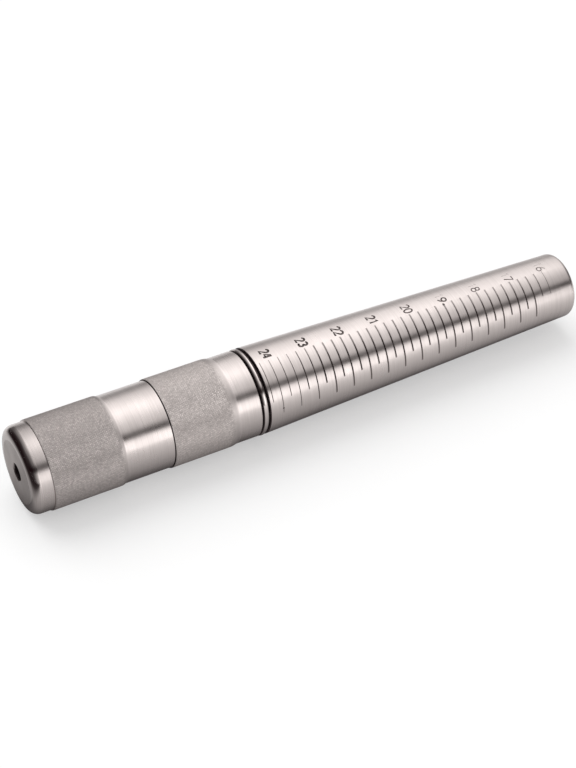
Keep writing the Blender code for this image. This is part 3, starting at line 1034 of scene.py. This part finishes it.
        def nearest(place: Vector) -> tuple[float, Mark]:
            """Find the mark nearest to a point.

            Args:
                place: The point.

            Returns:
                The point's distance from the mark along the axis, and the mark.
            """
            index = round((marks[0].station - lathe.station(place)) / spacing)
            mark = marks[max(0, min(index, len(marks) - 1))]
            return lathe.station(place) - mark.station, mark

        def share(place: Vector) -> float:
            """Find how deep a groove is at a point.

            Args:
                place: The point.

            Returns:
                The share of the full depth, or 0 outside the grooves.
            """
            off, mark = nearest(place)
            turn = lathe.turn(place)
            steps = min(turn - self.mark_start, mark.end - turn) / step
            inner = lathe.radius(place) < self.surface(lathe.station(place)) - SURFACE_DEPTH
            if abs(off) > MERGE_DISTANCE or inner or steps < 0.5:
                return 0.0
            zone = next(part for limit, part in self.mark_zones if turn < radians(limit))
            return mark.depth * zone * (self.mark_end_share if steps < 1.5 else 1)

        def filled(face: Face) -> bool:
            """Tell whether a face is a wall of a groove.

            Args:
                face: The face.

            Returns:
                Whether it is one.
            """
            middle = face.calc_center_median()
            off, mark = nearest(middle)
            near = abs(off) < self.mark_width * mark.depth / 2
            slack = step * 0.4
            within = self.mark_start + slack < lathe.turn(middle) < mark.end - slack
            return near and within and lathe.radius(middle) > self.least_outside

        middle_radius = self.surface((marks[0].station + marks[-1].station) / 2)
        shares = {vertex.index: share(vertex.co) for vertex in piece.data.vertices}
        with Editing(piece, Pick.VERTEX) as editing:
            for part in sorted(set(shares.values()) - {0.0}):
                editing.pick(lambda vert: shares[vert.index] == part)
                lathe.resize(1 - self.mark_depth * part / middle_radius)
        with Editing(piece, Pick.FACE) as editing:
            editing.paint(filled, self.mark_slot)
        LOG.info("engraved %d marks", len(marks))

    def punch(self, piece: Piece) -> None:
        """Punch the small round dots beside two of the numbers.

        Args:
            piece: The numbered piece.
        """
        for size, turn, radius in self.punch_dots:
            station = self.size_station(size)
            height = self.surface(station) + radius * self.punch_lift
            bpy.ops.object.select_all(action="DESELECT")
            bpy.ops.mesh.primitive_ico_sphere_add(
                subdivisions=3, radius=radius, location=self.lathe.point(station, height, turn)
            )
            dot = bpy.context.active_object
            bpy.ops.object.transform_apply(location=True, rotation=True, scale=True)
            coat(dot, piece.data.materials, self.figure_slot)
            cut(piece, dot)

    def figure_cutter(self, layer: int, finishes: Sequence[bpy.types.Material]) -> Piece:
        """Lay one stroke of every figure on the taper as round rods.

        Args:
            layer: Which stroke of the figures, so that no two rods of a cutter cross.
            finishes: The taper's materials.

        Returns:
            The rods as one mesh.
        """
        curve = bpy.data.curves.new("figure_strokes", "CURVE")
        curve.dimensions = "3D"
        curve.bevel_depth = self.figure_stroke
        curve.bevel_resolution = 2
        curve.use_fill_caps = True
        for size in range(self.smallest_size, self.largest_size + 1):
            station = self.size_station(size) + self.figure_shift
            for place, figure in enumerate(str(size)):
                wear = self.worn_sizes[size - self.smallest_size]
                if figure == "1" and place == 0:
                    wear = self.worn_first
                for stroke in FIGURES[figure][layer:layer + 1]:
                    self.lay_stroke(curve, stroke, station, place, wear)
        rods = bpy.data.objects.new("figure_strokes", curve)
        bpy.context.scene.collection.objects.link(rods)
        choose(rods)
        bpy.ops.object.convert(target="MESH")
        rods = bpy.context.active_object
        coat(rods, finishes, self.figure_slot)
        with Editing(rods, Pick.VERTEX):
            bpy.ops.mesh.select_all(action="SELECT")
            bpy.ops.mesh.remove_doubles(threshold=MERGE_DISTANCE)
            bpy.ops.mesh.normals_make_consistent(inside=False)
        return rods

    def lay_stroke(
        self, curve: bpy.types.Curve, stroke: Outline, station: float, place: int, wear: float
    ) -> None:
        """Lay one stroke of a figure on the taper.

        Args:
            curve: The curve that gets the stroke.
            stroke: The stroke's points, one unit high.
            station: The station of the number's middle.
            place: 0 for the number's first figure and 1 for its second.
            wear: How much of the stroke's width is left.
        """
        (left, low), (right, high) = stroke[0], stroke[-1]
        closed = hypot(left - right, low - high) < CLOSED_GAP
        spline = curve.splines.new("POLY")
        spline.use_cyclic_u = closed
        spline.points.add(len(stroke) - (2 if closed else 1))
        height = self.figure_height
        for point, (across, up) in zip(spline.points, stroke):
            along = station + (up - 0.5) * height
            radius = self.surface(along) + self.figure_lift
            offset = (across - HALF) * height + (place - 0.5) * self.figure_pitch
            spot = self.lathe.point(along, radius, self.figure_turn + offset / radius)
            point.co = (*spot, 1)
            point.radius = wear


@dataclass
class KnurledPiece:
    """What the two knurled pieces of the handle have in common."""

    lathe: Lathe
    rear: float
    front: float
    knurl_end: float
    edge: float
    rear_edge: float
    rows: int
    fading_rows: int
    radius: float = 15.599 * MM
    groove_radius: float = 15.928 * MM
    crest_radius: float = 16.03 * MM
    segments: int = 252
    fade_share: float = 0.7
    facing: float = 0.6
    seams: Stops = ((50.5 * MM, 52.9 * MM), (83.9 * MM, 87.0 * MM))
    knurl_slot: int = 1
    grime_slot: int = 2

    def turned(self, name: str, front: Outline, rear: Outline, colours: tuple[Colour, Colour]) -> Piece:
        """Turn and knurl the piece, and give it its finishes.

        Args:
            name: The piece's name.
            front: Its outline from the bore to the front of its outside.
            rear: Its outline from the rear of its outside back to the bore.
            colours: The knurl's colours on its crests, and of the painted shade and stains in its grooves.

        Returns:
            The knurled piece.
        """
        lathe = self.lathe
        knurl = Knurl(
            self.rear + self.rear_edge, self.knurl_end, self.groove_radius, self.crest_radius,
            self.rows, self.segments, self.radius, self.fading_rows,
        )
        outside = [
            (self.front, self.radius - self.edge),
            (self.front - self.edge, self.radius),
            (knurl.end, knurl.groove_radius),
            (knurl.start, knurl.groove_radius),
            (self.rear, self.radius),
        ]
        fade_start = knurl.end - knurl.fading_rows * (knurl.end - knurl.start) / knurl.rows * self.fade_share
        steel = KnurledSteel(
            f"{name} steel", *colours, knurl.groove_radius, knurl.crest_radius, (fade_start, knurl.end)
        )
        outline = [*front, *outside, *rear]
        piece = lathe.turned(name, outline, self.segments, (BAND, steel, PAINTED_SHADE))
        lathe.cut_knurl(piece, knurl)

        def in_seam(face: Face) -> bool:
            """Tell whether a face lies on a wall of the seam or of the bead ring's groove, where shade is
            painted.
            """
            station = lathe.station(face.calc_center_median())
            return abs(face.normal.x) > self.facing and any(a < station < b for a, b in self.seams)

        with Editing(piece, Pick.FACE) as editing:
            editing.paint(lambda face: lathe.in_band(face, knurl), self.knurl_slot)
            # The walls of the seam and of the bead ring's groove get painted shade.
            editing.paint(in_seam, self.grime_slot)
        return piece


@dataclass
class FrontCollar(KnurledPiece):
    """The knurled collar that is pinned to the taper."""

    rear: float = 51.02 * MM
    front: float = 84.25 * MM
    knurl_end: float = 75.95 * MM
    edge: float = 0.3 * MM
    rear_edge: float = 0.05 * MM
    rows: int = 60
    fading_rows: int = 10
    spigot_end: float = 86.95 * MM
    spigot_radius: float = 13.11 * MM
    bore_radius: float = 8.3 * MM
    recess_radius: float = 13.8 * MM
    recess_floor: float = 52.85 * MM

    def build(self) -> Piece:
        """Turn, knurl, drill and finish the piece.

        Returns:
            The finished piece.
        """
        bore_end = (self.spigot_end, self.bore_radius)
        front = [bore_end, (self.spigot_end, self.spigot_radius), (self.front, self.spigot_radius)]
        rear = [
            (self.rear, self.recess_radius),
            (self.recess_floor, self.recess_radius),
            (self.recess_floor, self.bore_radius),
            bore_end,
        ]
        piece = self.turned("knurled_collar", front, rear, FRONT_KNURL)
        drill(piece, "drive_pin_1", "drive_pin_2")
        smooth(piece)
        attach(piece, Body.MANDREL.value)
        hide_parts("front_collar")
        return piece


@dataclass
class GripSleeve(KnurledPiece):
    """The knurled sleeve that turns on the shank."""

    rear: float = 7.09 * MM
    front: float = 50.80 * MM
    knurl_end: float = 33.75 * MM
    edge: float = 0.05 * MM
    rear_edge: float = 0.04 * MM
    rows: int = 64
    fading_rows: int = 5
    chamber_radius: float = 12.8 * MM
    chamber_floor: float = 22.7 * MM
    seat_radius: float = 11.0 * MM
    rear_seat_end: float = 31.3 * MM
    relief_radius: float = 10.0 * MM
    front_seat_start: float = 40.15 * MM

    def build(self) -> Piece:
        """Turn, knurl and finish the piece.

        Returns:
            The finished piece.
        """
        bore_end = (self.front, self.seat_radius)
        rear = [
            (self.rear, self.chamber_radius),
            (self.chamber_floor, self.chamber_radius),
            (self.chamber_floor, self.seat_radius),
            (self.rear_seat_end, self.seat_radius),
            (self.rear_seat_end, self.relief_radius),
            (self.front_seat_start, self.relief_radius),
            (self.front_seat_start, self.seat_radius),
            bore_end,
        ]
        piece = self.turned("knurled_grip", [bore_end], rear, REAR_KNURL)
        smooth(piece)
        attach(piece, Body.GRIP.value)
        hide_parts("grip_sleeve")
        return piece


@dataclass
class EndCap:
    """The cap screwed into the rear of the sleeve, with its rounded edge and its key hole."""

    lathe: Lathe
    flange: float = 7.06 * MM
    radius: float = 15.599 * MM
    round_edge: float = 3.0 * MM
    round_steps: int = 14
    rim_radius: float = 9.0 * MM
    rim_turn: float = radians(12)
    rim_steps: int = 5
    front_edge: float = 0.03 * MM
    spigot_end: float = 12.8 * MM
    spigot_radius: float = 12.5 * MM
    bore_radius: float = 6.0 * MM
    wall: float = 5.0 * MM
    hole_radius: float = 3.1 * MM
    hole_chamfer: float = 0.35 * MM
    segments: int = 240

    def build(self) -> Piece:
        """Turn and finish the piece.

        Returns:
            The finished piece.
        """
        blend = pi - self.rim_turn
        rim_place = self.rim_radius * (1 + cos(blend))
        edge_centre = (rim_place - self.round_edge * cos(blend), self.radius - self.round_edge)
        rim_height = self.radius - self.round_edge * (1 - sin(blend)) - self.rim_radius * sin(blend)
        bore_end = (self.spigot_end, self.bore_radius)
        outline = [
            bore_end,
            (self.spigot_end, self.spigot_radius),
            (self.flange, self.spigot_radius),
            (self.flange, self.radius - self.front_edge),
            (self.flange - self.front_edge, self.radius),
            *arc(edge_centre, self.round_edge, pi / 2, blend, self.round_steps),
            *arc((self.rim_radius, rim_height), self.rim_radius, blend, pi, self.rim_steps)[1:],
            (0.0, self.hole_radius + self.hole_chamfer),
            (self.hole_chamfer, self.hole_radius),
            (self.wall, self.hole_radius),
            (self.wall, self.bore_radius),
            bore_end,
        ]
        finishes = (BAND, ROUNDED, FACED, PAINTED_SHADE)
        piece = self.lathe.turned("rounded_cap", outline, self.segments, finishes)

        def zone(face: Face) -> CapZone:
            """Find the part of the surface that a face belongs to.

            Args:
                face: The face.

            Returns:
                The part.
            """
            middle = face.calc_center_median()
            station, radius = self.lathe.station(middle), self.lathe.radius(middle)
            # The inside of the hole and the bore gets painted shade.
            if self.hole_chamfer < station and radius < self.bore_radius + MERGE_DISTANCE:
                return CapZone.INSIDE
            if station < self.hole_chamfer and radius < rim_height:
                return CapZone.FACED
            rounded = station < edge_centre[0] and radius > rim_height
            return CapZone.ROUNDED if rounded else CapZone.BAND

        with Editing(piece, Pick.FACE) as editing:
            for part in CapZone:
                editing.paint(lambda face: zone(face) is part, part.value)
        smooth(piece)
        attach(piece, Body.GRIP.value)
        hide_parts("end_cap")
        return piece


@dataclass
class BeadRing:
    """The polished steel ring of round section between the collar and the taper, with painted shade in its
    groove and on its flank beside the taper.
    """

    lathe: Lathe
    station: float = 85.75 * MM
    centre_radius: float = 14.613 * MM
    bead_radius: float = 1.2 * MM
    clean_radius: float = 15.5 * MM
    flank_turns: Pair = (radians(30), radians(66))
    flank_clean: Pair = (0.15 * MM, 0.75 * MM)
    grime_slot: int = 1
    facets: int = 36
    segments: int = 240

    def build(self) -> Piece:
        """Turn and finish the piece.

        Returns:
            The finished piece.
        """
        outline = arc((self.station, self.centre_radius), self.bead_radius, 0.0, FULL_TURN, self.facets)
        piece = self.lathe.turned("polished_bead", outline, self.segments, (BEAD, PAINTED_SHADE))

        def hidden(face: Face) -> bool:
            """Tell whether a face gets painted shade: down in the groove, or on the flank beside the taper.

            Args:
                face: The face.

            Returns:
                Whether it does.
            """
            middle = face.calc_center_median()
            start, end = self.flank_turns
            near, far = self.flank_clean
            way = min(1.0, max(0.0, (self.lathe.turn(middle) - start) / (end - start)))
            beyond = self.lathe.station(middle) - self.station > near + (far - near) * way
            return beyond or self.lathe.radius(middle) < self.clean_radius

        # Painted shade: faces in the groove and on the flank beside the taper are darkened, over more of the
        # flank near the top.
        with Editing(piece, Pick.FACE) as editing:
            editing.paint(hidden, self.grime_slot)
        smooth(piece)
        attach(piece, Body.MANDREL.value)
        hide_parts("bead_ring")
        return piece


@dataclass
class InnerWorks:
    """The bushes, washers, springs, pins and screw inside the handle."""

    nodes: dict[str, Piece]
    axis: Vector

    def dress(self) -> int:
        """Give each inner piece its finish.

        Returns:
            How many pieces were dressed.
        """
        for finish, names in INNER_FINISHES.items():
            material = finish.material(self.axis)
            for name in names:
                for slot in self.nodes[name].material_slots:
                    slot.material = material
        return sum(len(names) for names in INNER_FINISHES.values())


# Studio


@dataclass
class Studio:
    """The floor, the soft light and the camera.

    The steel mirrors a tent of white cloth over the object and a cloth on the ground. The tent's
    level runs in bands round the mandrel's axis, with one dark gap, and falls off towards both
    ends. The ground cloth carries a painted shadow, darker towards the object, as under a soft light from
    above.
    """

    camera_place: Triple = (-249.91 * MM, -450.35 * MM, 446.10 * MM)
    camera_aim: Triple = (0.3636, 0.6716, -0.6455)
    camera_clip: Pair = (0.01, 20.0)
    lens: float = 89.24
    floor_size: float = 3.0
    floor_colour: Colour = (0.58, 0.58, 0.58)
    floor_glow: float = 0.42
    fill_level: float = 0.66
    sun_level: float = 1.55
    sun_width: float = radians(60)
    sun_turn: Triple = (radians(-35), 0.0, radians(12))
    tent_radius: float = 0.6
    tent_facets: int = 64
    cloth_height: float = 0.3 * MM
    tent_peak: float = 2.6
    dark_tint: Colour = (0.0032, 0.0004, 0.0008)
    turn_stops: Stops = (
        (-90, 0.61), (-84, 0.59), (-78, 0.64), (-70, 0.87), (-62, 1.22), (-54, 1.47), (-46, 1.58),
        (-38, 1.65), (-28, 1.84), (-18, 1.97), (-10, 1.94), (0, 1.72), (10, 1.49), (20, 1.24),
        (28, 1.11), (36, 1.01), (43, 0.65), (47, 0.30), (51, 0.08), (56.5, 0.07), (59.5, 0.28),
        (62.5, 1.13), (67.5, 2.00), (74, 2.15), (82, 2.18), (90, 2.11),
    )
    side_falls: Pair = (-0.22, -0.12)
    front_lean: float = -0.07
    rear_stops: Stops = (
        (-1, 0.01), (-0.86, 0.03), (-0.77, 0.08), (-0.7, 0.14), (-0.6, 0.18), (-0.45, 0.25),
        (-0.36, 0.36), (-0.28, 0.50), (-0.15, 0.60), (-0.05, 0.66), (0, 0.74), (0.06, 0.83),
        (0.12, 0.95), (0.2, 1.00), (1, 1.00),
    )
    front_stops: Stops = (
        (-1, 1.00), (0.36, 1.00), (0.4, 0.97), (0.47, 0.93), (0.506, 0.86), (0.55, 0.83),
        (0.583, 0.74), (0.65, 0.68), (0.75, 0.60), (0.83, 0.40), (0.9, 0.10), (1, 0.03),
    )
    ground_reach: float = 200 * MM
    ground_stops: Stops = (
        (-200, 1.12), (-165, 1.07), (-85, 0.88), (-58, 0.74), (-44, 0.67), (-35, 0.59),
        (-30, 0.53), (-25, 0.45), (-22, 0.40), (-19, 0.34), (-17, 0.28), (-15, 0.21),
        (-13, 0.15), (-10, 0.08), (0, 0.04), (10, 0.12), (16, 0.38), (22, 0.48), (35, 0.66),
        (58, 0.85), (80, 0.95), (140, 0.72), (200, 0.60),
    )
    footprint: float = 100 * MM
    ground_end: Stops = (
        (-200, 0.02), (-170, 0.03), (-150, 0.06), (-140, 0.20), (-130, 0.45), (-120, 0.85),
        (-105, 1.00), (0, 1.00),
    )
    tip_lift: tuple[Pair, Pair] = ((0.0, 0.1), (1.0, 1.4))

    def build(self) -> None:
        """Make the whole studio."""
        for make in (self.floor, self.tent, self.ground_cloth, self.light, self.camera):
            make()
        bpy.context.scene.view_settings.view_transform = "Standard"

    def floor(self) -> None:
        """Lay the pale floor, which shows white in the picture and keeps the object's shadow."""
        bpy.ops.object.select_all(action="DESELECT")
        bpy.ops.mesh.primitive_plane_add(size=self.floor_size)
        floor = bpy.context.active_object
        floor.name = "floor"
        wiring = Wiring(bpy.data.materials.new("pale floor"))
        wiring.set(
            Base_Color=(*self.floor_colour, 1),
            Roughness=0.9,
            Specular_IOR_Level=0.0,
            Emission_Color=WHITE,
            Emission_Strength=wiring.span(wiring.background_rays(), (0, 1), (0, self.floor_glow)),
        )
        floor.data.materials.append(wiring.owner)

    def tent(self) -> None:
        """Stand the tent over the object."""
        bpy.ops.object.select_all(action="DESELECT")
        bpy.ops.mesh.primitive_uv_sphere_add(
            segments=self.tent_facets, ring_count=self.tent_facets // 2, radius=self.tent_radius
        )
        tent = bpy.context.active_object
        tent.name = "light_tent"
        with Editing(tent, Pick.FACE):
            bpy.ops.mesh.select_all(action="SELECT")
            bpy.ops.mesh.bisect(plane_co=(0, 0, MM), plane_no=(0, 0, 1), clear_inner=True)
        wiring = Wiring(bpy.data.materials.new("tent cloth"))
        direction = wiring.add("VectorMath", {0: wiring.place(Vector())}, operation="NORMALIZE")
        along, across, up = wiring.split(direction.outputs["Vector"])
        share = wiring.span(wiring.math("ARCTAN2", across, up), (pi / 2, -pi / 2))
        levels = [wiring.ramp(share, [((a + 90) / 180, v / self.tent_peak) for a, v in self.turn_stops])]
        behind = along
        for side, fall in zip((wiring.math("ABSOLUTE", across), across), self.side_falls):
            behind = wiring.math("MULTIPLY_ADD", side, fall, behind)
        ahead = wiring.math("MULTIPLY_ADD", across, self.front_lean, along)
        for value, stops in ((behind, self.rear_stops), (ahead, self.front_stops)):
            share = wiring.span(value, (-1.0, 1.0))
            levels.append(wiring.ramp(share, [((x + 1) / 2, v) for x, v in stops]))
        self.show_in_mirrors(tent, wiring, levels)

    def ground_cloth(self) -> None:
        """Lay the ground cloth inside the tent, with the object's painted shadow on it."""
        bpy.ops.object.select_all(action="DESELECT")
        bpy.ops.mesh.primitive_circle_add(
            vertices=self.tent_facets, radius=self.tent_radius, fill_type="NGON",
            location=(0, 0, self.cloth_height),
        )
        bpy.ops.object.transform_apply(location=True, rotation=True, scale=True)
        cloth = bpy.context.active_object
        cloth.name = "ground_cloth"
        wiring = Wiring(bpy.data.materials.new("ground cloth"))
        along, across, _ = wiring.split(wiring.place(Vector()))
        foot, reach = self.footprint, self.ground_reach
        beyond = wiring.span(wiring.math("ABSOLUTE", along), (foot, 1.0), (0.0, 1.0 - foot))
        spot = wiring.add("CombineXYZ", {"X": beyond, "Y": across})
        signed = wiring.math("MULTIPLY", wiring.length(spot.outputs[0]), wiring.math("SIGN", across))
        lifted = wiring.math("MULTIPLY", signed, wiring.span(along, *self.tip_lift))
        stops = [((y * MM + reach) / reach / 2, v / self.tent_peak) for y, v in self.ground_stops]
        levels = [wiring.ramp(wiring.span(lifted, (-reach, reach)), stops)]
        stops = [((x * MM + reach) / reach, v) for x, v in self.ground_end]
        levels.append(wiring.ramp(wiring.span(along, (-reach, 0.0)), stops))
        self.show_in_mirrors(cloth, wiring, levels)

    def show_in_mirrors(self, cloth: Piece, wiring: Wiring, patterns: Sequence[Socket]) -> None:
        """Give a cloth its level, and show it only in what mirrors it.

        Args:
            cloth: The cloth.
            wiring: Its material.
            patterns: The patterns that multiply to the cloth's level.
        """
        level = patterns[0]
        for pattern in patterns[1:]:
            level = wiring.blend(1.0, level, pattern, "MULTIPLY")
        wiring.set(
            Base_Color=(0, 0, 0, 1),
            Specular_IOR_Level=0.0,
            Roughness=1.0,
            Emission_Strength=self.tent_peak,
            Emission_Color=wiring.blend(1.0, level, self.dark_tint, "ADD"),
        )
        cloth.data.materials.append(wiring.owner)
        cloth.visible_camera = cloth.visible_diffuse = cloth.visible_shadow = False
        cloth.visible_transmission = cloth.visible_volume_scatter = False

    def light(self) -> None:
        """Light the floor by a plain white world and a wide soft sun from behind."""
        world = bpy.data.worlds.new("white studio")
        bpy.context.scene.world = world
        wiring = Wiring(world)
        wiring.nodes.clear()
        fill = wiring.add("Background", {"Color": (self.fill_level, self.fill_level, self.fill_level, 1)})
        white = wiring.add("Background", {"Color": WHITE})
        inputs = {0: wiring.background_rays(), 1: fill.outputs[0], 2: white.outputs[0]}
        wiring.add("OutputWorld", {"Surface": wiring.add("MixShader", inputs).outputs[0]})
        data = bpy.data.lights.new("soft sun", "SUN")
        data.energy, data.angle = self.sun_level, self.sun_width
        sun = bpy.data.objects.new("soft_sun", data)
        bpy.context.scene.collection.objects.link(sun)
        sun.rotation_euler = self.sun_turn
        sun.visible_glossy = False

    def camera(self) -> None:
        """Stand the camera where the photograph was taken from."""
        data = bpy.data.cameras.new("camera")
        data.lens = self.lens
        data.clip_start, data.clip_end = self.camera_clip
        camera = bpy.data.objects.new("camera", data)
        bpy.context.scene.collection.objects.link(camera)
        camera.location = self.camera_place
        camera.rotation_mode = "QUATERNION"
        camera.rotation_quaternion = Vector(self.camera_aim).to_track_quat("-Z", "Y")
        bpy.context.scene.camera = camera


def main() -> None:
    """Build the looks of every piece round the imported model."""
    logging.basicConfig(level=logging.INFO, format="%(relativeCreated)6d ms %(name)s: %(message)s")
    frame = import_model()
    low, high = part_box("grip_sleeve")
    lathe = Lathe(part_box("end_cap")[0].x, (low.z + high.z) / 2)
    LOG.info("axis at %.3f mm, rear face at %.3f mm", lathe.height / MM, lathe.rear / MM)
    for part in (Taper(lathe), FrontCollar(lathe), GripSleeve(lathe), EndCap(lathe), BeadRing(lathe)):
        piece = part.build()
        LOG.info("%s has %d faces", piece.name, len(piece.data.polygons))
    dressed = InnerWorks(frame["nodes"], lathe.origin).dress()
    LOG.info("dressed %d inner pieces", dressed)
    Studio().build()


if __name__ == "__main__":
    main()
